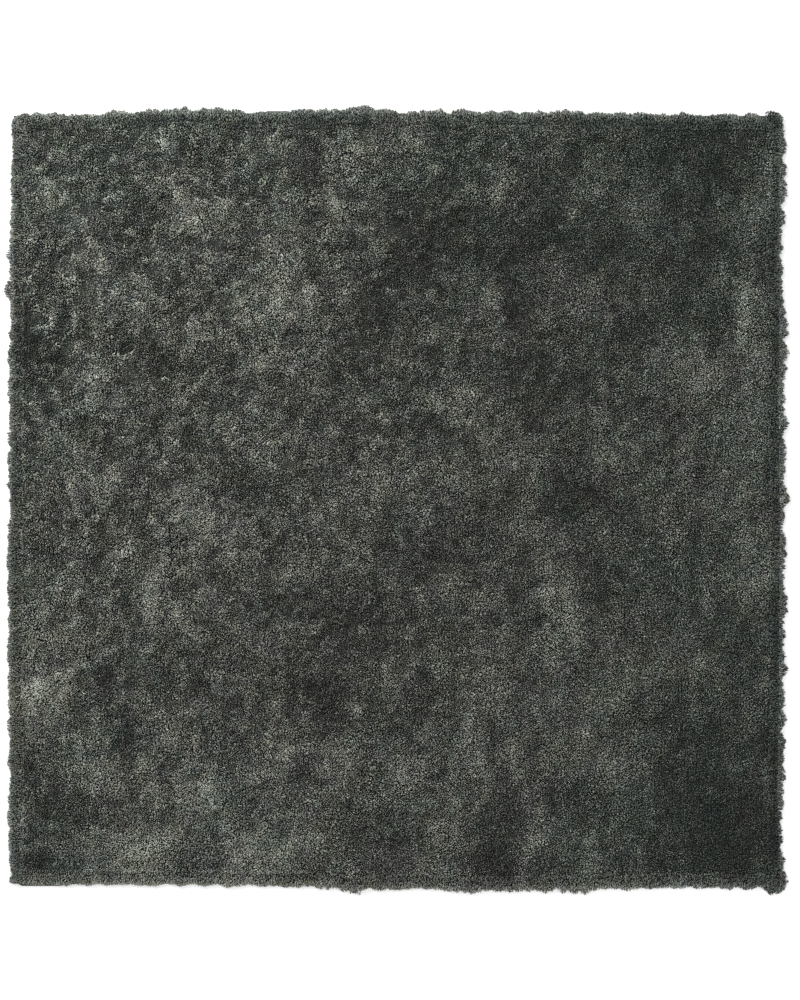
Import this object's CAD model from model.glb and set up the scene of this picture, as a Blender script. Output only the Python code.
import math

import bmesh
import bpy
import numpy as np
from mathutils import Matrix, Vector, noise
from mathutils.bvhtree import BVHTree


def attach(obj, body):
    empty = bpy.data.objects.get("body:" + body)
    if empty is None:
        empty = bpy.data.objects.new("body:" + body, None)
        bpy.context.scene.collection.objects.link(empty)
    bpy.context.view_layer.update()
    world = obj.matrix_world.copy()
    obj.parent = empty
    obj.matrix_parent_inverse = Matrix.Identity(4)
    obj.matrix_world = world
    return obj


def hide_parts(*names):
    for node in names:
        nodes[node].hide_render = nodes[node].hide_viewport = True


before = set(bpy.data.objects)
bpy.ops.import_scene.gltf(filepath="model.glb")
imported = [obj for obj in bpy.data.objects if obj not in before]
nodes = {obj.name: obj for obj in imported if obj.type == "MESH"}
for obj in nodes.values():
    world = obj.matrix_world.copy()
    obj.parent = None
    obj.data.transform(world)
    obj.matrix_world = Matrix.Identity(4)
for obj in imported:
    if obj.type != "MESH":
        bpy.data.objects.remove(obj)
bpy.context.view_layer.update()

# Square shag rug seen from straight above. X runs to the right and Y to the top of the picture, in metres.

sides = {"front": (1, -1), "back": (1, 1), "left": (0, -1), "right": (0, 1)}  # its axis and the way it faces


def neighbours(side):
    return ("left", "right") if sides[side][0] == 1 else ("front", "back")


def wander(x, y, size, layer):
    # smooth noise that turns over about every size metres, each layer its own
    return np.array([noise.noise((a, b, layer * 7.3)) for a, b in zip(x / size, y / size)])


def unit(v):
    return v / np.maximum(np.linalg.norm(v, axis=-1, keepdims=True), 1e-9)


def newPiece(mesh):
    piece = bpy.data.objects.new(mesh.name, mesh)
    bpy.context.scene.collection.objects.link(piece)
    return piece


def pieceFrom(bm, name):
    mesh = bpy.data.meshes.new(name)
    bm.to_mesh(mesh)
    bm.free()
    mesh.shade_smooth()
    return newPiece(mesh)


# the solid under the pile, measured so that every tuft fits it
survey = {
    "above": 1.0,  # the height from which the solid's top is felt for
    "foot": 0.001,  # the underside of the tape lies below this
    "span": 1.03,  # half the length of a side, and a little over
    "stretches": 75,  # along a side, each with its farthest lock
    "least": 0.9,  # out from the middle, where a stretch has a lock at all
}
solid = BVHTree.FromObject(nodes["shag_pile"], bpy.context.evaluated_depsgraph_get())


def points(obj):
    co = np.empty(len(obj.data.vertices) * 3, np.float32)
    obj.data.vertices.foreach_get("co", co)
    return co.reshape(-1, 3).astype(float)


def solidTop(x, y, missing):
    # how high the solid is at each place, or missing where there is none
    found = []
    for a, b in zip(x, y):
        spot = solid.ray_cast((a, b, survey["above"]), (0.0, 0.0, -1.0))[0]
        found.append(missing if spot is None else spot.z)
    return np.array(found)


def edgeLines(side):
    # along the side: where the bound edge lies, and how far the locks reach
    axis, way = sides[side]
    tape = points(nodes["binding_" + side])
    out, along = tape[:, axis] * way, tape[:, 1 - axis]
    outer = (out > np.median(out)) & (tape[:, 2] < survey["foot"])
    line, first = np.unique(along[outer].round(4), return_index=True)
    bound = (line, out[outer][first])
    locks = points(nodes["shag_pile"])
    bins = np.linspace(-survey["span"], survey["span"], survey["stretches"] + 1)
    middles = (bins[1:] + bins[:-1]) / 2
    stretch = np.digitize(locks[:, 1 - axis], bins) - 1
    reach = np.array([(locks[:, axis] * way)[stretch == k].max(initial=0) for k in range(len(middles))])
    good = reach > survey["least"]
    return bound, (middles[good], reach[good])


edges = {side: edgeLines(side) for side in sides}


def boundAt(side, along):
    # how far out from the middle the bound edge lies
    return np.interp(along, *edges[side][0])


def tipsAt(side, along):
    # how far out from the middle the locks reach
    return np.interp(along, *edges[side][1])


def insideTips(side, x, y):
    # how far a place lies in from the tips of the locks
    axis, way = sides[side]
    out, along = (x, y) if axis == 0 else (y, x)
    return tipsAt(side, along) - out * way


for side, (bound, tips) in edges.items():
    print(f"measured the {side}, bound edge at {bound[1].mean():.4f}, tips at {tips[1].mean():.4f}")

# the lie of the pile, in lumps, locks and wisps
pileLook = {
    "half": 1.0,  # half the rug's width
    "rows": 8,  # long strips of pile, side by side
    "pitch": 0.00448,  # between neighbouring tufts in a row
    "scatter": 0.25,  # of a tuft from its place in the row, in pitches
    "overlap": 0.003,  # of the field with the rims
    "rise": 0.0130,  # from the ground of the pile to the tips
    "riseScatter": 0.0010,
    "sunk": 0.001,  # of the tips under the tops of the lumps
    "lowest": 0.004,  # of the roots
    "topMissing": 0.024,  # the top's height where the solid has a gap
    "thick": 0.0022,  # half the width of a tuft
    "thickRange": (0.8, 1.2),
    "roll": 0.6,  # how far a tuft is turned about itself, in radians, either way
    "elbow": (0.15, 0.85),  # share of the lean and of the rise that the bend of a tuft has
    "nap": 0.0026,  # how far the tips lean with the nap
    "napWay": -1.2,  # which way, in radians
    "napSwing": 5.0,  # and how far that turns from place to place
    "napLong": 0.210,  # over which the nap turns
    "napLight": 0.9,  # how much further the light places lean
    "napRange": (0.35, 2.0),
    "stray": 1.2,  # how far a tuft's own way strays from the nap, in radians
    "strayLong": 0.05,
    "loose": 0.07,  # share of tufts that lie flatter
    "looseLean": 3.0,  # and how much flatter
    "curl": 0.0011,  # how far a tuft leans its own way
    "clump": 0.0010,  # how far tips draw together
    "clumpLong": 0.017,
    # share of the pile in small locks: at the middle, its change for each metre, and the least
    "tuftedRight": (0.60, -0.75, 0.1),
    "tuftedUp": (0.80, 0.50, 0.35),
    "lock": 0.046,  # the size of a lock
    "lockWobble": 0.016,  # how far the outlines of the locks wander
    "lockWobbleLong": 0.030,
    "lockTurn": 0.6,  # how differently the locks lie, in radians, and how much more where they are small
    "lockTurnTufted": 2.6,
    "lockScale": 1.6,  # makes the tip of a lock about 1
    "lump": 0.0080,
    "lumpLong": 0.046,
    "knob": 0.0055,
    "knobLong": 0.026,
    "lumpSmooth": 0.35,  # share of the lumps' height that the smooth pile has
    "facingStep": 0.006,  # over which the slope of a lump is felt
    "facingSteep": 1.6,
    "wisp": 0.0011,  # how far the wisps stand up where the pile is tufted
    "wispWay": 0.4,
    "wispSwing": 5.5,
    "wispTurnLong": 0.048,
    "wispWide": 0.0130,
    "wispStep": 0.006,  # a quarter of its length
    "fleck": 0.032,
    "fleckWobble": 0.010,
    "fleckWobbleLong": 0.016,
    "fleckWay": 1.9,
    "fleckSwing": 3.2,
    "fleckTip": 2.6,  # how much lighter the tip of a fleck is, past where it comes out
    "fleckFrom": 0.1,
    "fleckSlope": 0.5,
    "fleckOwn": 0.9,  # how differently light the flecks are
    "fleckLess": 0.3,
    "strandWide": 0.0042,
    "strandStep": 0.004,
    "strandSharp": 0.9,
    "seed": 11,
}


def locksOf(x, y, size, layer):
    # irregular cells about size across: each one's two chance numbers, and the way to a place from its middle
    many = 64  # each way, before they come again
    table = np.random.default_rng(layer).uniform(0, 1, (many, many, 4))
    gx, gy = x / size, y / size
    ix, iy = np.floor(gx).astype(int), np.floor(gy).astype(int)
    nearest = np.full(len(x), np.inf)
    own, away = np.zeros((len(x), 2)), np.zeros((len(x), 2))
    for dx in (-1, 0, 1):
        for dy in (-1, 0, 1):
            cell = table[(ix + dx) % many, (iy + dy) % many]
            off = np.stack([gx - ix - dx - cell[:, 0], gy - iy - dy - cell[:, 1]], 1)
            far = np.hypot(off[:, 0], off[:, 1])
            closer = far < nearest
            nearest = np.where(closer, far, nearest)
            own[closer], away[closer] = cell[closer, 2:], off[closer]
    return own, away


def tuftedAt(x, y):
    # the upper left of the rug lies in small locks, and the right of it is smooth
    (middle, change, least), (middleUp, changeUp, leastUp) = pileLook["tuftedRight"], pileLook["tuftedUp"]
    return np.clip(middle + change * x, least, 1) * np.clip(middleUp + changeUp * y, leastUp, 1)


def napAt(x, y):
    # the way the pile lies, how far up its lock a place is, the lock's own number, and how tufted the pile is
    look = pileLook
    tufted = tuftedAt(x, y)
    wx = x + look["lockWobble"] * wander(x, y, look["lockWobbleLong"], 40)
    wy = y + look["lockWobble"] * wander(x, y, look["lockWobbleLong"], 41)
    own, away = locksOf(wx, wy, look["lock"], 42)
    turn = look["napWay"] + look["napSwing"] * wander(x, y, look["napLong"], 10)
    turn += (own[:, 0] - 0.5) * (look["lockTurn"] + look["lockTurnTufted"] * tufted)
    along = away[:, 0] * np.cos(turn) + away[:, 1] * np.sin(turn)
    return turn, along * look["lockScale"], own[:, 1], tufted


def strayFrom(turn, x, y):
    # tufts stray from the way of the nap, neighbours together
    return turn + pileLook["stray"] * wander(x, y, pileLook["strayLong"], 11)


def drawnOut(x, y, turn, step, wide, layer):
    # noise drawn out along the way that turn gives
    c, s = np.cos(turn), np.sin(turn)
    return sum(wander(x + k * step * c, y + k * step * s, wide, layer) for k in (-2, -1, 0, 1, 2))


def wispsAt(x, y):
    # small curved wisps of yarn that lie close together, crests above 0 and the gaps between them below
    look = pileLook
    turn = look["wispWay"] + look["wispSwing"] * wander(x, y, look["wispTurnLong"], 30)
    return np.tanh(drawnOut(x, y, turn, look["wispStep"], look["wispWide"], 31))


def flecksAt(x, y):
    # small locks that lean over their neighbours, light at the tip and dark where they come out
    look = pileLook
    wx = x + look["fleckWobble"] * wander(x, y, look["fleckWobbleLong"], 44)
    wy = y + look["fleckWobble"] * wander(x, y, look["fleckWobbleLong"], 45)
    own, away = locksOf(wx, wy, look["fleck"], 46)
    turn = look["fleckWay"] + (own[:, 0] - 0.5) * look["fleckSwing"]
    along = away[:, 0] * np.cos(turn) + away[:, 1] * np.sin(turn)
    light = look["fleckTip"] * np.maximum(along - look["fleckFrom"], 0) + look["fleckSlope"] * along
    return light + look["fleckOwn"] * (own[:, 1] - 0.5) - look["fleckLess"]


def strandsAt(x, y, turn):
    # tufts that lie in line with each other are alike, which draws the pile out into strands
    look = pileLook
    return np.tanh(look["strandSharp"] * drawnOut(x, y, turn, look["strandStep"], look["strandWide"], 60))


def lumpsAt(x, y):
    # height of the small lumps on top of the solid's own
    look = pileLook
    lumps = look["lump"] * wander(x, y, look["lumpLong"], 15)
    lumps += look["knob"] * wander(x, y, look["knobLong"], 16)
    return (look["lumpSmooth"] + (1 - look["lumpSmooth"]) * tuftedAt(x, y)) * lumps


def facingAt(x, y):
    # above 0 on the side of a lump that faces the light, below 0 on the other
    step = pileLook["facingStep"]
    return np.tanh(pileLook["facingSteep"] * (lumpsAt(x, y) - lumpsAt(x - step, y + step)) / step)


# light and dark places, where the pile is brushed towards the light or away from it: x and y,
# half the width and half the length, turn in degrees, and how much lighter, or darker where below 0
brushed = (
    (-0.34, 0.48, 0.11, 0.08, 35, 0.45),
    (-0.49, 0.88, 0.07, 0.04, 0, 0.35),
    (-0.13, 0.90, 0.06, 0.05, 0, 0.35),
    (0.06, 0.93, 0.03, 0.04, 0, 0.45),
    (0.27, 0.81, 0.05, 0.04, 0, 0.25),
    (0.51, 0.82, 0.09, 0.06, 0, 0.35),
    (-0.77, 0.45, 0.03, 0.10, 0, 0.40),
    (-0.87, 0.81, 0.05, 0.06, 0, 0.15),
    (-0.56, 0.70, 0.08, 0.05, 20, 0.30),
    (-0.21, 0.70, 0.09, 0.07, 60, 0.30),
    (-0.57, 0.28, 0.04, 0.04, 0, 0.45),
    (-0.76, 0.21, 0.05, 0.07, 0, 0.30),
    (-0.74, 0.04, 0.06, 0.04, 0, 0.30),
    (-0.40, 0.13, 0.05, 0.05, 0, 0.30),
    (-0.27, 0.17, 0.05, 0.04, 0, 0.35),
    (-0.08, 0.06, 0.10, 0.06, -30, 0.30),
    (-0.23, -0.04, 0.05, 0.07, 0, 0.30),
    (0.16, 0.27, 0.10, 0.03, -8, 0.45),
    (0.90, 0.47, 0.04, 0.13, 3, 0.75),
    (0.90, 0.10, 0.04, 0.13, -3, 0.40),
    (0.78, 0.31, 0.07, 0.05, 0, 0.40),
    (0.78, 0.00, 0.12, 0.09, 0, 0.15),
    (-0.49, -0.04, 0.03, 0.06, 35, 0.40),
    (-0.62, -0.27, 0.04, 0.10, 35, 0.50),
    (-0.83, -0.18, 0.03, 0.08, -10, 0.35),
    (-0.92, -0.29, 0.08, 0.05, 20, 0.45),
    (-0.26, -0.19, 0.06, 0.03, 10, 0.55),
    (0.40, -0.25, 0.05, 0.14, 25, 0.50),
    (-0.92, -0.48, 0.06, 0.05, 0, 0.75),
    (-0.61, -0.56, 0.03, 0.08, 25, 0.40),
    (-0.79, -0.68, 0.04, 0.07, 0, 0.40),
    (-0.46, -0.74, 0.08, 0.05, 0, 0.40),
    (-0.64, -0.88, 0.13, 0.05, 0, 0.55),
    (-0.34, -0.88, 0.10, 0.07, 0, 0.45),
    (-0.60, -0.99, 0.25, 0.03, 0, 0.65),
    (-0.79, -0.85, 0.05, 0.05, 0, 0.35),
    (-0.22, 0.42, 0.04, 0.03, 40, 0.50),
    (0.69, 0.16, 0.06, 0.05, 0, 0.30),
    (0.66, -0.18, 0.08, 0.06, 0, 0.35),
    (0.49, 0.36, 0.07, 0.06, 0, 0.35),
    (0.38, -0.39, 0.05, 0.05, 0, 0.35),
    (0.02, -0.72, 0.06, 0.07, 0, 0.25),
    (0.18, -0.62, 0.03, 0.08, 0, 0.35),
    (0.53, -0.54, 0.15, 0.14, 0, 0.30),
    (0.35, -0.88, 0.05, 0.04, -40, 0.45),
    (0.50, -0.91, 0.04, 0.07, -15, 0.40),
    (0.17, 0.03, 0.04, 0.09, 0, 0.25),
    (0.04, 0.62, 0.18, 0.07, 55, -0.60),
    (0.43, 0.68, 0.20, 0.07, 0, -0.50),
    (0.78, 0.82, 0.15, 0.14, 0, -0.50),
    (0.70, 0.53, 0.12, 0.08, 0, -0.35),
    (0.31, 0.49, 0.04, 0.12, 0, -0.45),
    (0.46, 0.27, 0.04, 0.05, 0, -0.40),
    (0.11, 0.36, 0.05, 0.04, 0, -0.45),
    (0.06, 0.18, 0.07, 0.03, 0, -0.35),
    (-0.95, 0.41, 0.06, 0.09, 0, -0.60),
    (-0.94, 0.13, 0.04, 0.06, 0, -0.25),
    (0.43, 0.01, 0.07, 0.09, 30, -0.40),
    (0.50, -0.17, 0.04, 0.10, 0, -0.35),
    (0.09, -0.15, 0.07, 0.07, 0, -0.40),
    (-0.03, -0.30, 0.11, 0.07, 0, -0.25),
    (-0.18, -0.52, 0.07, 0.08, 0, -0.65),
    (-0.40, -0.57, 0.07, 0.08, 0, -0.40),
    (-0.52, -0.46, 0.04, 0.04, 0, -0.45),
    (-0.74, -0.45, 0.07, 0.04, 0, -0.35),
    (-0.70, -0.58, 0.05, 0.04, 0, -0.50),
    (0.86, -0.34, 0.12, 0.07, 0, -0.35),
    (0.79, -0.76, 0.15, 0.17, 0, -0.75),
    (0.93, -0.90, 0.10, 0.12, 0, -0.70),
    (0.97, -0.66, 0.04, 0.08, 0, -0.45),
    (0.25, -0.89, 0.06, 0.10, 0, -0.65),
    (-0.90, -0.93, 0.09, 0.03, 0, -0.45),
    (-0.25, 0.83, 0.06, 0.04, 0, -0.30),
    (-0.09, 0.56, 0.06, 0.07, 0, -0.50),
    (0.05, 0.79, 0.06, 0.05, 0, -0.30),
    (0.59, 0.54, 0.05, 0.05, 0, -0.35),
    (-0.84, 0.34, 0.05, 0.05, 0, -0.30),
    (-0.56, -0.21, 0.05, 0.05, 0, -0.35),
    (-0.43, -0.51, 0.06, 0.05, 0, -0.30),
)

# at each side: how light its tips are, how deep the dark hollow inside them is, and how far in that lies
rimTones = {
    "front": (0.50, 0.0, 0.028),
    "back": (0.38, 0.60, 0.028),
    "left": (0.20, 0.50, 0.018),
    "right": (0.02, 0.80, 0.020),
}

# a lift of 0 leaves a tuft as it is, above 0 it is lighter
toneLook = {
    "middle": 0.78,  # brightness at a lift of 0
    "steep": 0.72,
    "own": 0.03,  # how differently light neighbouring tufts are
    "range": (0.02, 4.0),
    "left": 0.07,  # lift of the left half, and drop of the right
    "leftLong": 0.4,  # over which one turns into the other
    "wobble": 0.045,  # how far the outlines of the brushed places wander
    "wobbleLong": 0.080,
    "cloud": 0.40,
    "cloudLong": 0.120,
    "patch": 0.25,
    "patchLong": 0.045,
    "lockSlope": 0.15,  # from the middle of a lock to its tip
    "lockOwn": 0.20,  # from lock to lock
    "facing": 0.50,  # of the sides that face the light, and how much less where the pile is tufted
    "facingTufted": 0.26,
    "stroke": 0.40,  # smooth strokes that run up and down, and the share that the tufted pile lacks
    "strokeTufted": 0.7,
    "strokeWide": 0.030,
    "strokeDrawn": 0.35,
    "wisp": 0.08,
    "wispTufted": 0.10,
    "fleckTufted": 0.42,
    "strand": 0.17,
    "strandTufted": 0.04,
    "fineFade": 0.6,  # how much less the fine marks show where the pile is light
    "fineRange": (0.45, 1.3),
    "tipsWide": 0.018,  # of the light tips at the rim
    "hollowWide": 0.013,
    "hollowUneven": 1.2,
    "hollowLong": 0.150,
    # the dye is warmest here, and greener with the distance, which counts a little less to the sides
    "warmest": (-0.15, -0.10),
    "warmWide": 1.05,
    "green": 0.10,
    "greenOut": 0.45,
    "greenMost": 1.45,
    "dyeCloud": 0.5,
    "dyeCloudLong": 0.14,
    "dyeFleck": 0.8,
    "dyeFleckLong": 0.030,
    "dyeOwn": 0.05,
}


def liftOf(x, y, nap):
    # the rug's broad lights and darks, its brushed and trodden places, then the fine marks and the rim
    look = toneLook
    turn, along, own, tufted = nap
    wx = x + look["wobble"] * wander(x, y, look["wobbleLong"], 50)
    wy = y + look["wobble"] * wander(x, y, look["wobbleLong"], 51)
    lift = look["left"] * np.tanh(-x / look["leftLong"])
    for px, py, wide, long, angle, much in brushed:
        c, s = math.cos(math.radians(angle)), math.sin(math.radians(angle))
        u, v = ((wx - px) * c + (wy - py) * s) / wide, ((wy - py) * c - (wx - px) * s) / long
        lift += much * np.exp(-(u * u + v * v))
    clouds = look["cloud"] * wander(x, y, look["cloudLong"], 52)
    lift += clouds + look["patch"] * wander(x, y, look["patchLong"], 53)
    lift += tufted * (look["lockSlope"] * along + look["lockOwn"] * (own - 0.5))
    lift += (look["facing"] - look["facingTufted"] * tufted) * facingAt(x, y)
    strokes = wander(x, y * look["strokeDrawn"], look["strokeWide"], 55)
    lift += (1 - look["strokeTufted"] * tufted) * look["stroke"] * strokes
    fine = (look["wisp"] + look["wispTufted"] * tufted) * wispsAt(x, y)
    fine += look["fleckTufted"] * tufted * flecksAt(x, y)
    fine += (look["strand"] - look["strandTufted"] * tufted) * strandsAt(x, y, strayFrom(turn, x, y))
    lift += fine * np.clip(1 - look["fineFade"] * lift, *look["fineRange"])
    uneven = 1.0 + look["hollowUneven"] * wander(x, y, look["hollowLong"], 56)
    for side, (light, deep, inside) in rimTones.items():
        inset = np.maximum(insideTips(side, x, y), 0)
        hollow = deep * uneven * np.exp(-((inset - inside) / look["hollowWide"]) ** 2)
        lift += light * np.exp(-(inset / look["tipsWide"]) ** 2) - hollow
    return lift


def shadeOf(lift, chance):
    # a tuft's own share of full brightness
    own = chance.normal(0.0, toneLook["own"], len(lift))
    return np.clip(toneLook["middle"] * np.exp(toneLook["steep"] * lift + own), *toneLook["range"])


def hueOf(x, y, chance):
    # from 0, the warm dye, to 1, the green
    look = toneLook
    warmX, warmY = look["warmest"]
    away = ((x - warmX) / look["warmWide"]) ** 2 + (y - warmY) ** 2
    hue = look["green"] + look["greenOut"] * np.minimum(away, look["greenMost"])
    hue += look["dyeCloud"] * wander(x, y, look["dyeCloudLong"], 8)
    hue += look["dyeFleck"] * wander(x, y, look["dyeFleckLong"], 9)
    return np.clip(hue + chance.normal(0, look["dyeOwn"], len(x)), 0, 1)


def shapeFrom(bm):
    # the points of one small shape, and the corners of its triangles
    bmesh.ops.recalc_face_normals(bm, faces=bm.faces)
    bm.verts.index_update()
    places = np.array([v.co for v in bm.verts])
    corners = np.array([[v.index for v in f.verts] for f in bm.faces])
    bm.free()
    return places, corners


def meshOfMany(name, co, corners):
    # many copies of a small shape, co with the points of each and corners with the triangles of one
    count, size = co.shape[:2]
    faces = (corners[None] + (np.arange(count) * size)[:, None, None]).reshape(-1)
    mesh = bpy.data.meshes.new(name)
    mesh.vertices.add(count * size)
    mesh.vertices.foreach_set("co", co.astype(np.float32).reshape(-1))
    mesh.loops.add(len(faces))
    mesh.loops.foreach_set("vertex_index", faces.astype(np.int32))
    mesh.polygons.add(len(faces) // 3)
    mesh.polygons.foreach_set("loop_start", np.arange(0, len(faces), 3, dtype=np.int32))
    mesh.update(calc_edges=True)
    mesh.shade_smooth()
    return mesh


def tuftShape():
    # a bent sliver of yarn: root, two shoulders and tip, one unit long and thick
    bm = bmesh.new()
    for place in ((0, 0, 0), (-1, 0.35, 0.6), (1, 0.35, 0.6), (0, 0, 1)):
        bm.verts.new(place)
    bmesh.ops.convex_hull(bm, input=bm.verts)
    return shapeFrom(bm)


def tuftMap(places, corners):
    # the outer faces of a tuft lie in the left half of its own square, the inner ones in the right half
    laid = []
    for face in corners:
        middle = 0.25 if {1, 2} <= set(face) else 0.75
        laid += [(middle + 0.25 * places[k, 0], places[k, 2]) for k in face]
    return np.array(laid)


def growTufts(name, root, elbow, tip, thick, roll, looks):
    # bends one copy of the sliver from each root past its elbow to its tip
    places, corners = tuftShape()
    count, size = len(root), len(places)
    t = places[None, :, 2:]
    line = (1 - t) ** 2 * root[:, None] + 2 * t * (1 - t) * elbow[:, None] + t * t * tip[:, None]
    chord = unit(tip - root)
    across = unit(np.cross(elbow - (root + tip) / 2, chord))
    other = np.cross(chord, across)
    c, s = np.cos(roll)[:, None], np.sin(roll)[:, None]
    across, other = across * c + other * s, other * c - across * s
    wide = thick[:, None, None]
    co = line + wide * (places[None, :, :1] * across[:, None] + places[None, :, 1:2] * other[:, None])
    mesh = meshOfMany(name, co, corners)
    spread = {key: np.repeat(values, size) for key, values in looks.items()}
    spread["along"] = np.tile(places[:, 2], count)
    for key, values in spread.items():
        mesh.attributes.new(key, "FLOAT", "POINT").data.foreach_set("value", values.astype(np.float32))
    # each tuft has its own square in the map that its colours are baked into
    cells = math.ceil(math.sqrt(count))
    cell = np.stack([np.arange(count) % cells, np.arange(count) // cells], 1)
    margin = 0.08
    laid = (cell[:, None] + margin + (1 - 2 * margin) * tuftMap(places, corners)[None]) / cells
    mesh.uv_layers.new(name="OFBake").data.foreach_set("uv", laid.astype(np.float32).reshape(-1))
    return newPiece(mesh)


# a socket that Python reckons with, each step adding its Math node
class Wire:
    def __init__(self, finish, socket):
        self.finish, self.socket = finish, socket

    def __add__(self, other):
        return self.finish.maths("ADD", self, other)

    def __sub__(self, other):
        return self.finish.maths("SUBTRACT", self, other)

    def __rsub__(self, other):
        return self.finish.maths("SUBTRACT", other, self)

    def __mul__(self, other):
        return self.finish.maths("MULTIPLY", self, other)

    def __truediv__(self, other):
        return self.finish.maths("DIVIDE", self, other)

    def __rtruediv__(self, other):
        return self.finish.maths("DIVIDE", other, self)

    def __pow__(self, other):
        return self.finish.maths("POWER", self, other)

    def __rpow__(self, other):
        return self.finish.maths("POWER", other, self)

    __radd__, __rmul__ = __add__, __mul__


class Finish:
    def __init__(self, name, **fixed):
        self.material = bpy.data.materials.new(name)
        self.material.use_nodes = True
        self.tree = self.material.node_tree
        self.shader = self.tree.nodes["Principled BSDF"]
        self.shade(**fixed)

    def node(self, kind, settings=None, inputs=None, output=0):
        made = self.tree.nodes.new(kind)
        for key, value in (settings or {}).items():
            if key == "stops":
                ramp = made.color_ramp.elements
                while len(ramp) < len(value):
                    ramp.new(0.5)
                for stop, (at, colour) in zip(ramp, value):
                    stop.position, stop.color = at, (*colour, 1.0)
            else:
                setattr(made, key, value)
        for key, value in (inputs or {}).items():
            self.feed(made.inputs[key], value)
        return Wire(self, made.outputs[output])

    def feed(self, socket, value):
        if isinstance(value, Wire):
            self.tree.links.new(value.socket, socket)
        else:
            socket.default_value = value

    def shade(self, **values):
        for key, value in values.items():
            self.feed(self.shader.inputs[key.replace("_", " ")], value)

    def maths(self, operation, *values):
        return self.node("ShaderNodeMath", {"operation": operation}, dict(enumerate(values)))

    def clipped(self, value):
        return self.node("ShaderNodeClamp", None, {0: value})

    def place(self):
        return self.node("ShaderNodeTexCoord", output=3)

    def attribute(self, name):
        return self.node("ShaderNodeAttribute", {"attribute_name": name}, output=2)

    def grain(self, vector, scale, detail):
        return self.node("ShaderNodeTexNoise", None, {"Vector": vector, "Scale": scale, "Detail": detail})

    def stretched(self, vector, scale):
        return self.node("ShaderNodeVectorMath", {"operation": "MULTIPLY"}, {0: vector, 1: scale})

    def scaled(self, colour, much):
        return self.node("ShaderNodeVectorMath", {"operation": "SCALE"}, {0: colour, "Scale": much})

    def blend(self, share, first, second):
        return self.node("ShaderNodeMix", {"data_type": "RGBA"}, {0: share, 6: first, 7: second}, 2)

    def ramp(self, share, *stops):
        return self.node("ShaderNodeValToRGB", {"stops": stops}, {0: share})

    def bump(self, strength, relief, height):
        return self.node("ShaderNodeBump", None, {"Strength": strength, "Distance": relief, "Height": height})


yarnLook = {
    "root": 0.08,  # of the tip's brightness, and more of it in the light places
    "rootLight": 0.28,
    "calm": 1.2,  # how much less the fibres differ in the light places
    "calmMost": 1.1,
    "warm": (0.299, 0.264, 0.188, 1),
    "green": (0.124, 0.310, 0.190, 1),
    "olive": (0.253, 0.291, 0.086, 1),
    "slate": (0.230, 0.264, 0.288, 1),
    "slateShare": 0.40,  # against the olive
    "shadeCool": 1.35,  # how much more slate the tufts darker than this are
    "shadeMiddle": 0.83,
    "patchy": 3.2,
    "patchMiddle": 0.47,
    "patchSize": 22.0,  # of the olive and slate patches, per metre
    "patchShare": 0.5,
    "pale": (0.270, 0.272, 0.266, 1),  # the lightest fibres hardly show the dye
    "paleShare": 1.0,
    "paleFrom": 0.38,  # brightness at which half of that share is reached
    "fibreDark": 0.33,  # between fibres, against the yarn's own shade
    "fibreLight": 1.505,  # on the lightest fibres
    "fibreMean": 0.95,
    "fibreSize": 700.0,  # per metre
    "fibreLong": 0.2,  # drawn out upwards
    "roughness": 0.68,
    "rootRough": 0.15,
    "sheen": 0.04,
    "sheenRough": 0.4,
    "shine": 0.12,
}


def yarnFinish():
    # dark at the root, the tuft's own shade and hue at the tip, and every fibre lighter or darker than that
    look = yarnLook
    made = Finish("shagYarn", Sheen_Weight=look["sheen"], Sheen_Roughness=look["sheenRough"],
                  Specular_IOR_Level=look["shine"])
    shade, hue, along = made.attribute("shade"), made.attribute("hue"), made.attribute("along")
    place = made.place()
    drawn = made.stretched(place, (1.0, 1.0, look["fibreLong"]))
    cells = made.node("ShaderNodeTexVoronoi", None, {"Vector": drawn, "Scale": look["fibreSize"]}, 1)
    fibre = made.node("ShaderNodeSeparateColor", None, {"Color": cells})
    spread = look["fibreLight"] - look["fibreDark"]
    calm = made.maths("MINIMUM", shade ** -look["calm"], look["calmMost"])
    light = look["fibreMean"] + ((look["fibreDark"] + fibre * spread) ** 2 - look["fibreMean"]) * calm
    patch = made.grain(place, look["patchSize"], 3.0)
    cool = (look["shadeMiddle"] - shade) * look["shadeCool"] + made.attribute("cool")
    slate = look["slateShare"] + (patch - look["patchMiddle"]) * look["patchy"] + cool
    mottle = made.blend(slate, look["olive"], look["slate"])
    dyed = made.blend(look["patchShare"], made.blend(hue, look["warm"], look["green"]), mottle)
    root = look["root"] + look["rootLight"] * shade
    rise = root + (1 - root) * along
    bright = shade * light * rise
    tint = made.blend(look["paleShare"] * bright / (bright + look["paleFrom"]), dyed, look["pale"])
    rough = look["roughness"] + look["rootRough"] * (1 - along)
    made.shade(Base_Color=made.scaled(tint, bright), Roughness=rough)
    return made.material


def staggered(rows, line, pitch):
    # a place on each row for each step of the line, every other row half a pitch on
    shift = np.repeat(np.arange(len(rows)) % 2, len(line)) * pitch / 2
    return np.repeat(rows, len(line)), np.tile(line, len(rows)) + shift


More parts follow.
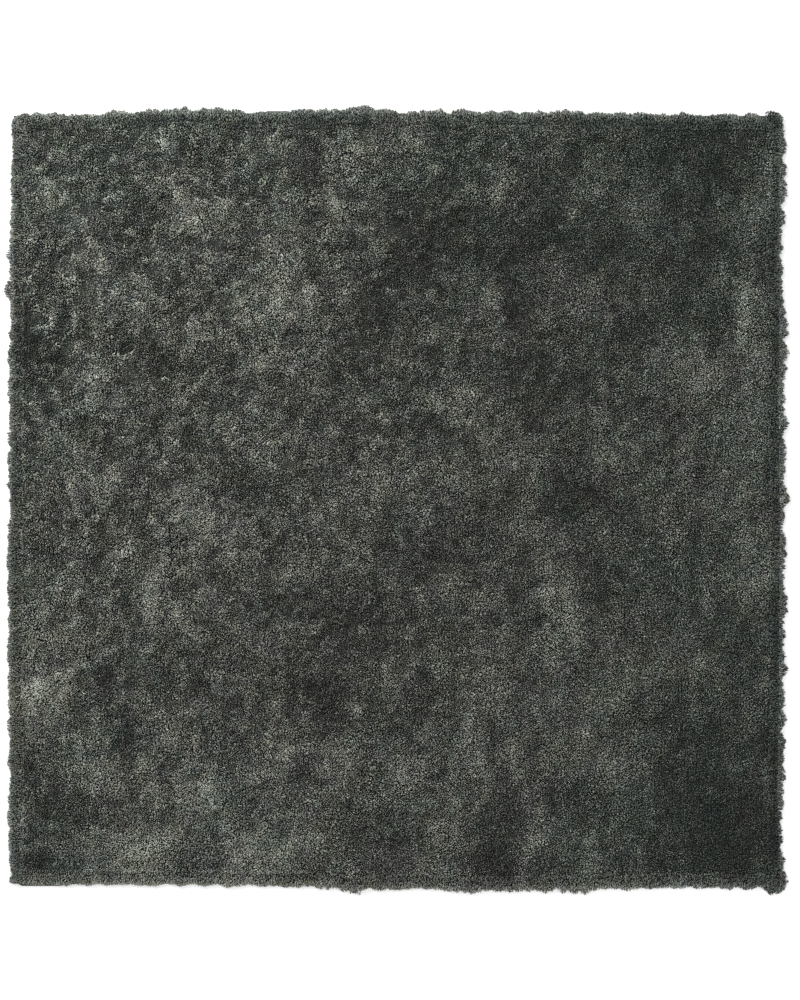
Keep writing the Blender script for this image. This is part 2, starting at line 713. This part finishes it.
# the field of the pile
def pileField():
    look = pileLook
    half, pitch = look["half"], look["pitch"]
    chance = np.random.default_rng(look["seed"])
    x, y = staggered(np.arange(-half, half, pitch * math.sqrt(3) / 2), np.arange(-half, half, pitch), pitch)
    x += chance.uniform(-1, 1, len(x)) * pitch * look["scatter"]
    y += chance.uniform(-1, 1, len(y)) * pitch * look["scatter"]
    keep = np.min([insideTips(side, x, y) for side in sides], axis=0) > rimLook["band"] - look["overlap"]
    x, y = x[keep], y[keep]
    nap = napAt(x, y)
    lift = liftOf(x, y, nap)
    turn = strayFrom(nap[0], x, y)
    much = look["nap"] * np.clip(1.0 + look["napLight"] * lift, *look["napRange"])
    much *= np.where(chance.uniform(0, 1, len(x)) < look["loose"], look["looseLean"], 1.0)
    own = chance.uniform(0, math.tau, len(x))
    clumpX, clumpY = (look["clump"] * wander(x, y, look["clumpLong"], layer) for layer in (13, 14))
    leanX = much * np.cos(turn) + look["curl"] * np.cos(own) + clumpX
    leanY = much * np.sin(turn) + look["curl"] * np.sin(own) + clumpY
    tipX, tipY = x + leanX, y + leanY
    top = solidTop(tipX, tipY, look["topMissing"])
    top += lumpsAt(tipX, tipY) + look["wisp"] * wispsAt(x, y) * tuftedAt(x, y)
    tipZ = top + chance.normal(0, look["riseScatter"], len(x)) - look["sunk"]
    rootZ = np.maximum(top - look["rise"], look["lowest"])
    root = np.stack([x, y, rootZ], 1)
    tip = np.stack([tipX, tipY, tipZ], 1)
    leanShare, riseShare = look["elbow"]
    elbow = root + np.stack([leanShare * leanX, leanShare * leanY, riseShare * (tipZ - rootZ)], 1)
    thick = look["thick"] * chance.uniform(*look["thickRange"], len(x))
    shade = shadeOf(lift, chance)
    hue = hueOf(x, y, chance)
    roll = chance.uniform(-look["roll"], look["roll"], len(x))
    pieces = []
    strip = np.clip(((x + half) / (2 * half) * look["rows"]).astype(int), 0, look["rows"] - 1)
    for k in range(look["rows"]):
        of = strip == k
        bends = [v[of] for v in (root, elbow, tip, thick, roll)]
        pieces.append(growTufts(f"pile_rows_{k + 1}", *bends, {"shade": shade[of], "hue": hue[of]}))
    print("pile", len(x), "tufts,", sum(len(p.data.polygons) for p in pieces), "triangles")
    return pieces


# the rims, where the pile falls over the bound edge
rimLook = {
    "share": 19.0e-6,  # square metres of the rim for each tuft
    "band": 0.041,  # from the tips of the rim to the edge of the field
    "shoulder": 0.022,  # height over which the rim is rounded
    "bendSteps": 60,
    "low": 0.0045,  # height of the outermost tips
    "high": 0.0265,  # the field's height beside it, where the solid has a gap
    "rise": 0.0130,
    "riseRange": (0.85, 1.15),
    "rootLowest": 0.0035,
    "tipLowest": 0.0022,
    "elbow": (0.1, 0.8),  # share of the lean and of the rise
    "curl": 0.0024,
    "droop": 0.003,  # how far all of them hang
    "sway": 0.004,  # sideways, neighbours together
    "swayLong": 0.022,
    "swayDown": 0.02,
    "raggedness": 0.0019,
    "bulge": 0.0116,
    "bulges": ((1.0, 0.030), (0.8, 0.012)),  # share of it, and its length along the rim
    # share of the bulges and the raggedness where the locks hardly reach past the bound edge
    "free": {"front": 0.3, "back": 0.65, "left": 0.45, "right": 0.8},
    "freeFull": 0.010,  # how far past the bound edge they have all of both
    "bare": {"back": (-0.335, -0.275), "front": (-0.965, -0.860)},  # where the bound edge shows, from and to
    "bareSoft": 0.030,  # the locks calm down towards it
    "bareCalm": 0.8,
    "bareSharp": 0.006,
    "bareBack": 0.0015,  # how far behind the bound edge they end
    # side, where along it, half the length, and how far the locks are cut back there
    "trimmed": (("back", 0.955, 0.022, 0.009), ("front", 0.955, 0.030, 0.005)),
    "beyond": {"front": 0.001, "back": 0.001, "left": 0.001, "right": 0.0035},  # past the solid's tips
    "endAt": 0.97,  # where along a neighbouring side its tips are measured
    "cornerRound": 0.014,
    "cornerShare": 0.8,  # of a full round
    "cornerTurn": 0.7,  # how far the tufts there fan out
    "cornerIn": 0.003,  # how far inside the neighbours' tips the inner tufts stay
    "taken": 0.004,  # how far inside the field's edge its height is taken
    "takenSpan": 0.04,  # and how far from the ends of the side at least
    "toneShare": 0.8,  # of the field's lift, how much darker the rim is, and how much lighter its tips
    "toneLess": 0.30,
    "toneTips": 0.10,
    "green": {"front": 0.7, "back": 1.1, "left": 1.0, "right": 1.05},  # share of the field's greener dye
    "cool": {"front": 0.1, "back": 0.25, "left": 0.05, "right": 0.35},  # slate dye at the tips
    "coolLess": 0.22,
    "seed": 23,
}


def bareAt(side, along, soft):
    # 1 where the bound edge shows, 0 where locks fall over it
    if side not in rimLook["bare"]:
        return 0 * along
    start, end = rimLook["bare"][side]
    return 1 - np.clip(np.maximum(start - along, along - end) / soft, 0, 1)


def placed(side, out, along, height):
    # places given by how far out from the middle, how far along the side and how high they are
    axis, way = sides[side]
    made = np.empty((len(along), 3))
    made[:, axis], made[:, 1 - axis], made[:, 2] = out * way, along, height
    return made


def rimReach(side, along, ends, layer):
    # the inner and the outer line of the rim, how freely its locks stray, and how near the corner a place is
    look = rimLook
    tips = tipsAt(side, along) + look["beyond"][side]
    inner = tips - look["band"]
    for cut, middle, half, much in look["trimmed"]:
        if cut == side:
            tips -= much * np.exp(-((along - middle) / half) ** 4)
    bound = boundAt(side, along)
    free = np.clip((tips - bound) / look["freeFull"], look["free"][side], 1)
    free *= 1 - look["bareCalm"] * bareAt(side, along, look["bareSoft"])
    bare = bareAt(side, along, look["bareSharp"]) > 0.5
    tips = np.where(bare, np.minimum(tips, bound - look["bareBack"]), tips)
    for share, long in look["bulges"]:
        tips += share * free * look["bulge"] * wander(along, 0 * along, long, layer)
    end = np.where(along < 0, ends[0], ends[1])
    near = np.clip(1 - (end - np.abs(along)) / look["cornerRound"], 0, 1)
    tips -= look["cornerRound"] * (1 - np.sqrt(1 - near * near)) * look["cornerShare"]
    return inner, tips, free, near


def rimRows(ends, chance):
    # tufts in rows up the rounded shoulder: how far along each is, and its turn from the tips to the field
    look = rimLook
    bend = np.linspace(0, math.pi / 2, look["bendSteps"])
    steps = np.hypot(np.diff(look["band"] * np.cos(bend)), np.diff(look["shoulder"] * np.sin(bend)))
    arc = np.concatenate([[0], np.cumsum(steps)])
    pitch = math.sqrt(look["share"] * 2 / math.sqrt(3))
    rows = np.arange(0, arc[-1], pitch * math.sqrt(3) / 2)
    up, along = staggered(rows, np.arange(-ends[0], ends[1], pitch), pitch)
    along += chance.uniform(-1, 1, len(along)) * pitch * pileLook["scatter"]
    up += chance.uniform(-1, 1, len(along)) * pitch * pileLook["scatter"]
    return along, np.interp(up, arc, bend)


def rimWays(side, along, turn, near):
    # outward from the shoulder, fanned out at the corners, sideways along it, and down its slope
    look = rimLook
    face = unit(np.stack([np.cos(turn) / look["band"], np.sin(turn) / look["shoulder"]], 1))
    fan = near * np.sign(along) * look["cornerTurn"]
    outward = unit(placed(side, face[:, 0], fan * face[:, 0], face[:, 1]))
    sideways = placed(side, 0 * along, np.ones(len(along)), 0 * along)
    down = np.cross(outward, sideways)
    return outward, sideways, down * np.where(down[:, 2] > 0, -1, 1)[:, None]


def rimTufts(side):
    look = rimLook
    axis, way = sides[side]
    layer = 20 + axis * 2 + way
    chance = np.random.default_rng(look["seed"] + axis * 2 + way)
    ends = [tipsAt(other, way * look["endAt"]) for other in neighbours(side)]
    along, turn = rimRows(ends, chance)
    count = len(along)
    inner, tips, free, near = rimReach(side, along, ends, layer)
    span = look["takenSpan"]
    taken = placed(side, inner - look["taken"], np.clip(along, -ends[0] + span, ends[1] - span), 0)
    crown = solidTop(taken[:, 0], taken[:, 1], look["high"])
    out = inner + (tips - inner) * np.cos(turn)
    height = look["low"] + (crown - look["low"]) * np.sin(turn)
    outward, sideways, down = rimWays(side, along, turn, near)
    own = chance.uniform(0, math.tau, count)
    lean = look["curl"] * (np.cos(own)[:, None] * sideways + np.sin(own)[:, None] * down)
    lean += down * look["droop"]
    sway = look["sway"] * wander(along, turn * look["swayDown"], look["swayLong"], layer + 10)
    lean += sideways * sway[:, None]
    ragged = free * chance.normal(0, look["raggedness"], count)
    tip = placed(side, out, along, height) + outward * ragged[:, None]
    rise = look["rise"] * chance.uniform(*look["riseRange"], count)
    root = tip - outward * rise[:, None] - lean
    root[:, 2] = np.maximum(root[:, 2], look["rootLowest"])
    tip[:, 2] = np.maximum(tip[:, 2], look["tipLowest"])
    leanShare, riseShare = look["elbow"]
    elbow = root + outward * riseShare * rise[:, None] + leanShare * lean
    x, y, outer = tip[:, 0], tip[:, 1], np.cos(turn) ** 2
    lift = liftOf(x, y, napAt(x, y)) * look["toneShare"] - look["toneLess"] + look["toneTips"] * outer
    shade = shadeOf(lift, chance)
    hue = look["green"][side] * hueOf(x, y, chance)
    thick = pileLook["thick"] * chance.uniform(*pileLook["thickRange"], count)
    roll = chance.uniform(-pileLook["roll"], pileLook["roll"], count)
    cool = look["cool"][side] * outer - look["coolLess"]
    inside = np.min([insideTips(other, x, y) for other in neighbours(side)], axis=0)
    of = inside > look["cornerIn"] * (1 - outer)
    bends = [v[of] for v in (root, elbow, tip, thick, roll)]
    piece = growTufts(f"rim_locks_{side}", *bends, {"shade": shade[of], "hue": hue[of], "cool": cool[of]})
    print("rim", side, of.sum(), "tufts,", len(piece.data.polygons), "triangles")
    return piece


groundLook = {
    "steps": 80,  # each way
    "inset": 0.012,  # from the bound edge
    "under": 0.0110,  # the solid's top
    "lowest": 0.004,
    "topMissing": 0.014,  # the top's height where the solid has a gap
    "rim": 0.006,
    "foot": 0.0028,  # just over the cloth
    "grain": 260.0,  # per metre
    "dark": (0.006, 0.0070, 0.006),
    "light": (0.035, 0.038, 0.033),
    "roughness": 0.95,
}


def groundFinish():
    look = groundLook
    made = Finish("pileGround", Roughness=look["roughness"], Specular_IOR_Level=0.1)
    grain = made.grain(made.place(), look["grain"], 3.0)
    made.shade(Base_Color=made.ramp(grain, (0.3, look["dark"]), (0.75, look["light"])))
    return made.material


def pileGround():
    # the dark ground of the pile, under the tips, and closed below
    look = groundLook
    bm = bmesh.new()
    bmesh.ops.create_grid(bm, x_segments=look["steps"], y_segments=look["steps"], size=1.0)
    rim = [e for e in bm.edges if e.is_boundary]
    drawn = bmesh.ops.extrude_edge_only(bm, edges=rim)["geom"]
    lower = {v for v in drawn if isinstance(v, bmesh.types.BMVert)}
    bmesh.ops.contextual_create(bm, geom=[e for e in bm.edges if e.is_boundary])
    bmesh.ops.triangulate(bm, faces=[f for f in bm.faces if len(f.verts) > 4])
    verts = list(bm.verts)
    u, v = np.array([vert.co.x for vert in verts]), np.array([vert.co.y for vert in verts])
    left, right = look["inset"] - boundAt("left", v), boundAt("right", v) - look["inset"]
    front, back = look["inset"] - boundAt("front", u), boundAt("back", u) - look["inset"]
    x = left + (u + 1) / 2 * (right - left)
    y = front + (v + 1) / 2 * (back - front)
    top = np.maximum(solidTop(x, y, look["topMissing"]) - look["under"], look["lowest"])
    top[np.maximum(abs(u), abs(v)) > 0.999] = look["rim"]
    for k, vert in enumerate(verts):
        vert.co = (x[k], y[k], look["foot"] if vert in lower else top[k])
    bmesh.ops.recalc_face_normals(bm, faces=bm.faces)
    piece = pieceFrom(bm, "pile_ground")
    piece.data.materials.append(groundFinish())
    print("ground", len(piece.data.polygons), "faces")
    return piece


tufted = pileField() + [rimTufts(side) for side in sides]
yarn = yarnFinish()
for piece in tufted:
    piece.data.materials.append(yarn)
for piece in tufted + [pileGround()]:
    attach(piece, "root")
    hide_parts("shag_pile")

# the woven cloth underneath
clothLook = {
    "pitch": 0.0016,  # from thread to thread
    "thread": (0.250, 0.226, 0.188, 1),
    "slub": (0.172, 0.152, 0.122, 1),  # the darker, thicker lengths of thread
    "slubFine": 620.0,  # per metre, across the thread and along it
    "slubLong": 34.0,
    "slubFrom": 0.54,
    "slubSharp": 5.0,
    "slubRaised": 0.35,
    "gap": (0.070, 0.062, 0.050, 1),
    "gapFrom": 1.1,
    "gapSharp": 1.6,
    "soiled": (0.120, 0.110, 0.094, 1),  # towards the rug's edge, where it is swept against
    "edgeFrom": 0.90,
    "edgeSharp": 9.0,
    "edgeSoil": 0.6,
    "patchSize": 5.0,  # per metre
    "patchFrom": 0.50,
    "patchSharp": 2.0,
    "patchSoil": 0.35,
    "bump": 0.9,
    "relief": 0.0005,
    "roughness": 0.82,
    "slubRough": 0.14,
}


def clothFinish():
    # warp over weft at every other crossing, and weft over warp between them
    look = clothLook
    made = Finish("backingCloth", Specular_IOR_Level=0.2)
    place = made.place()
    x, y = (made.node("ShaderNodeSeparateXYZ", None, {0: place}, k) for k in (0, 1))
    across, down = (made.maths("SINE", v * (math.pi / look["pitch"])) for v in (x, y))
    over = across * down * 1.5
    warp = made.maths("ABSOLUTE", across) * made.clipped(0.5 + over)
    weft = made.maths("ABSOLUTE", down) * made.clipped(0.5 - over)
    height = made.maths("MAXIMUM", warp, weft)
    scales = (look["slubFine"], look["slubLong"], 1.0), (look["slubLong"], look["slubFine"], 1.0)
    slubs = [made.grain(made.stretched(place, scale), 1.0, 2.0) for scale in scales]
    slub = made.clipped((made.maths("MAXIMUM", *slubs) - look["slubFrom"]) * look["slubSharp"])
    patch = made.clipped((made.grain(place, look["patchSize"], 3.0) - look["patchFrom"]) * look["patchSharp"])
    out = made.maths("MAXIMUM", made.maths("ABSOLUTE", x), made.maths("ABSOLUTE", y))
    edge = made.clipped((out - look["edgeFrom"]) * look["edgeSharp"])
    soil = edge * look["edgeSoil"] + patch * look["patchSoil"]
    colour = made.blend(soil, made.blend(slub, look["thread"], look["slub"]), look["soiled"])
    colour = made.blend(made.clipped(look["gapFrom"] - look["gapSharp"] * height), colour, look["gap"])
    bump = made.bump(look["bump"], look["relief"], height + look["slubRaised"] * slub)
    made.shade(Base_Color=colour, Roughness=look["roughness"] + look["slubRough"] * slub, Normal=bump)
    return made.material


nodes["backing_cloth"].material_slots[0].material = clothFinish()
print("cloth woven")

# the ribbed tape, folded over the cloth's edge and sewn down
tapeLook = {
    "wide": 0.0158,
    "half": 0.99,  # half the length of a side, nearly
    "steps": 160,  # along one side
    "mitre": 0.0002,  # left open at each corner
    "drawn": 0.0055,  # how far the fold is drawn in under the locks, but for the bare lengths
    "drawnSoft": 0.012,
    "endAt": 0.99,  # where along a neighbouring side its bound edge is measured
    "uneven": 0.00012,
    "unevenLong": 0.05,
    "unevenRound": 0.004,  # from one line of the fold to the next
    "upper": 0.002,  # the upper face lies above this
    "sharp": 70,  # degrees
    "rib": 0.0017,
    "dye": (0.0165, 0.0195, 0.0170),
    "dyeLeast": 0.55,
    "dyePatchy": 0.9,
    "groove": (0.0050, 0.0060, 0.0052, 1),
    "grooveFrom": 0.9,
    "grooveSharp": 1.5,
    "worn": (0.062, 0.066, 0.060, 1),  # along the fold
    "wornWide": 0.0012,
    "wornPatchy": 2.4,
    "wornLess": 0.6,
    "threadSize": 1900.0,  # per metre
    "threadRaised": 0.35,
    "patchSize": 90.0,
    "bump": 0.9,
    "relief": 0.0005,
    "roughness": 0.70,
    "patchRough": 0.22,
}
# how far in from the fold, and how high, round the folded tape
tapeSection = (
    (tapeLook["wide"], 0.0004), (0.0090, 0.0004), (0.0014, 0.0003), (0.0003, 0.0008), (0.0, 0.0013),
    (0.0003, 0.0018), (0.0014, 0.0023), (0.0090, 0.0022), (tapeLook["wide"], 0.0021),
)


def drawnIn(inset, much):
    # the fold drawn in, the inner edge where it was
    wide = tapeLook["wide"]
    return wide - (wide - inset) * (1 - much / wide)


def alongSide(side, u, inset):
    # places at a distance in from the bound edge, u from -1 to 1 between the mitres
    look = tapeLook
    axis, way = sides[side]
    ends = drawnIn(inset, look["drawn"]) + look["mitre"]
    low, high = (boundAt(other, way * look["endAt"]) - ends for other in neighbours(side))
    along = (u + 1) / 2 * (low + high) - low
    much = look["drawn"] * (1 - bareAt(side, along, look["drawnSoft"]))
    out = (boundAt(side, along) - drawnIn(inset, much)) * way
    return (out, along) if axis == 0 else (along, out)


def edgeTape(side):
    look = tapeLook
    count = len(tapeSection)
    bm = bmesh.new()
    bmesh.ops.create_grid(bm, x_segments=look["steps"], y_segments=count, size=1.0)
    run, fold = bm.verts.layers.float.new("run"), bm.verts.layers.float.new("fold")
    verts = list(bm.verts)
    u = np.array([v.co.x for v in verts])
    ring = np.rint([(v.co.y + 1) / 2 * count for v in verts]).astype(int) % count
    inset, height = np.array(tapeSection)[ring].T
    x, y = alongSide(side, u, inset)
    soft = look["uneven"] * wander(u * look["half"], ring * look["unevenRound"], look["unevenLong"], 70)
    for k, vert in enumerate(verts):
        vert.co = (x[k], y[k], height[k] + (soft[k] if height[k] > look["upper"] else 0))
        vert[run] = (y if sides[side][0] == 0 else x)[k]
        vert[fold] = math.exp(-inset[k] / look["wornWide"])
    bmesh.ops.remove_doubles(bm, verts=verts, dist=1e-6)
    bmesh.ops.holes_fill(bm, edges=[e for e in bm.edges if e.is_boundary])
    bmesh.ops.recalc_face_normals(bm, faces=bm.faces)
    piece = pieceFrom(bm, "edge_tape_" + side)
    piece.data.set_sharp_from_angle(angle=math.radians(look["sharp"]))
    return piece


def tapeFinish():
    # run is the place along the tape, and fold is 1 on its fold
    look = tapeLook
    made = Finish("edgeTape", Specular_IOR_Level=0.25, Sheen_Weight=0.1, Sheen_Roughness=0.5)
    place = made.place()
    rib = made.maths("ABSOLUTE", made.maths("SINE", made.attribute("run") * (math.pi / look["rib"])))
    thread = made.grain(place, look["threadSize"], 1.0)
    patch = made.grain(place, look["patchSize"], 3.0)
    worn = made.clipped(made.attribute("fold") * (patch * look["wornPatchy"] - look["wornLess"]))
    dyed = made.scaled(look["dye"], look["dyeLeast"] + look["dyePatchy"] * patch)
    colour = made.blend(worn, dyed, look["worn"])
    colour = made.blend(made.clipped(look["grooveFrom"] - look["grooveSharp"] * rib), colour, look["groove"])
    bump = made.bump(look["bump"], look["relief"], rib + look["threadRaised"] * thread)
    made.shade(Base_Color=colour, Roughness=look["roughness"] + look["patchRough"] * patch, Normal=bump)
    return made.material


stitchLook = {
    "pitch": 0.0050,
    "row": 1.97,  # length of a row
    "span": 0.985,  # share of the side that it takes up
    "half": (0.0019, 0.0004, 0.0003),  # half the length, width and height of a stitch
    "heights": (0.00245, 0.0003),  # of the upper row and of the one underneath
    "inset": 0.0062,  # from the fold
    "insetScatter": 0.00012,
    "slant": 0.06,  # in radians
    "slantScatter": 0.04,
    "twist": 2600.0,  # per metre
    "dark": (0.012, 0.014, 0.013),
    "light": (0.045, 0.050, 0.046),
    "bump": 0.6,
    "relief": 0.0002,
    "roughness": 0.45,
    "twistRough": 0.25,
    "seed": 81,
}


def tapeStitches(side):
    # one row on the upper face and one underneath, each stitch one stretched bead
    look = stitchLook
    bm = bmesh.new()
    bmesh.ops.create_uvsphere(bm, u_segments=4, v_segments=2, radius=1.0)
    bead, corners = shapeFrom(bm)
    long, wide, high = (bead * look["half"]).T[:, None]
    count = int(look["row"] / look["pitch"])
    u = np.tile((np.arange(count) + 0.5) / count * 2 - 1, 2)
    z = np.repeat(look["heights"], count)
    chance = np.random.default_rng(look["seed"])
    inset = look["inset"] + chance.normal(0, look["insetScatter"], 2 * count)
    x, y = alongSide(side, u * look["span"], inset)
    turn = chance.normal(look["slant"], look["slantScatter"], 2 * count)
    turn += math.pi / 2 if sides[side][0] == 0 else 0.0
    c, s = np.cos(turn)[:, None], np.sin(turn)[:, None]
    co = np.stack([x[:, None] + long * c - wide * s, y[:, None] + long * s + wide * c, z[:, None] + high], 2)
    return newPiece(meshOfMany("tape_stitches_" + side, co, corners))


def threadFinish():
    look = stitchLook
    made = Finish("sewingThread", Specular_IOR_Level=0.4)
    twist = made.grain(made.place(), look["twist"], 1.0)
    tone = made.ramp(twist, (0.3, look["dark"]), (0.7, look["light"]))
    rough = look["roughness"] + look["twistRough"] * twist
    made.shade(Base_Color=tone, Roughness=rough, Normal=made.bump(look["bump"], look["relief"], twist))
    return made.material


tapeMaterial, threadMaterial = tapeFinish(), threadFinish()
for side in sides:
    tape, stitches = edgeTape(side), tapeStitches(side)
    tape.data.materials.append(tapeMaterial)
    stitches.data.materials.append(threadMaterial)
    for piece in (tape, stitches):
        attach(piece, "root")
    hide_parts("binding_" + side)

# the pale floor, the light and the camera
studio = {
    "floorHalf": 30.0,
    "floorColour": (0.92, 0.92, 0.92, 1),
    "floorRough": 0.9,
    "world": 0.95,
    # where each hangs, its power in watts and its width
    "keyLight": ((-2.6, 2.8, 3.4), 235, 1.6),
    "fillLight": ((3.2, -2.4, 3.6), 90, 3.0),
    "cameraAt": (0.009, 0.0, 6.091),  # looks straight down
    "lens": 85,
}


def paleFloor():
    look = studio
    bm = bmesh.new()
    bmesh.ops.create_grid(bm, x_segments=1, y_segments=1, size=look["floorHalf"])
    floor = pieceFrom(bm, "floor")
    made = Finish("paleFloor", Specular_IOR_Level=0.2)
    made.shade(Base_Color=look["floorColour"], Roughness=look["floorRough"])
    floor.data.materials.append(made.material)
    return floor


def softLight(name):
    # a square lamp that faces the middle of the rug
    where, power, wide = studio[name]
    data = bpy.data.lights.new(name, "AREA")
    data.energy, data.size = power, wide
    lamp = bpy.data.objects.new(name, data)
    lamp.location = where
    lamp.rotation_euler = (-Vector(where)).to_track_quat("-Z", "Y").to_euler()
    bpy.context.scene.collection.objects.link(lamp)


paleFloor()
world = bpy.data.worlds.new("studio")
bpy.context.scene.world = world
world.use_nodes = True
background = world.node_tree.nodes["Background"]
background.inputs[0].default_value, background.inputs[1].default_value = (1, 1, 1, 1), studio["world"]
softLight("keyLight")
softLight("fillLight")

cameraData = bpy.data.cameras.new("overhead")
cameraData.lens = studio["lens"]
camera = bpy.data.objects.new("overhead", cameraData)
camera.location = studio["cameraAt"]
bpy.context.scene.collection.objects.link(camera)
bpy.context.scene.camera = camera
bpy.context.scene.view_settings.view_transform = "Standard"
bpy.context.scene.cycles.use_denoising = False  # it would smear the fibres
print("floor, lights and camera placed")
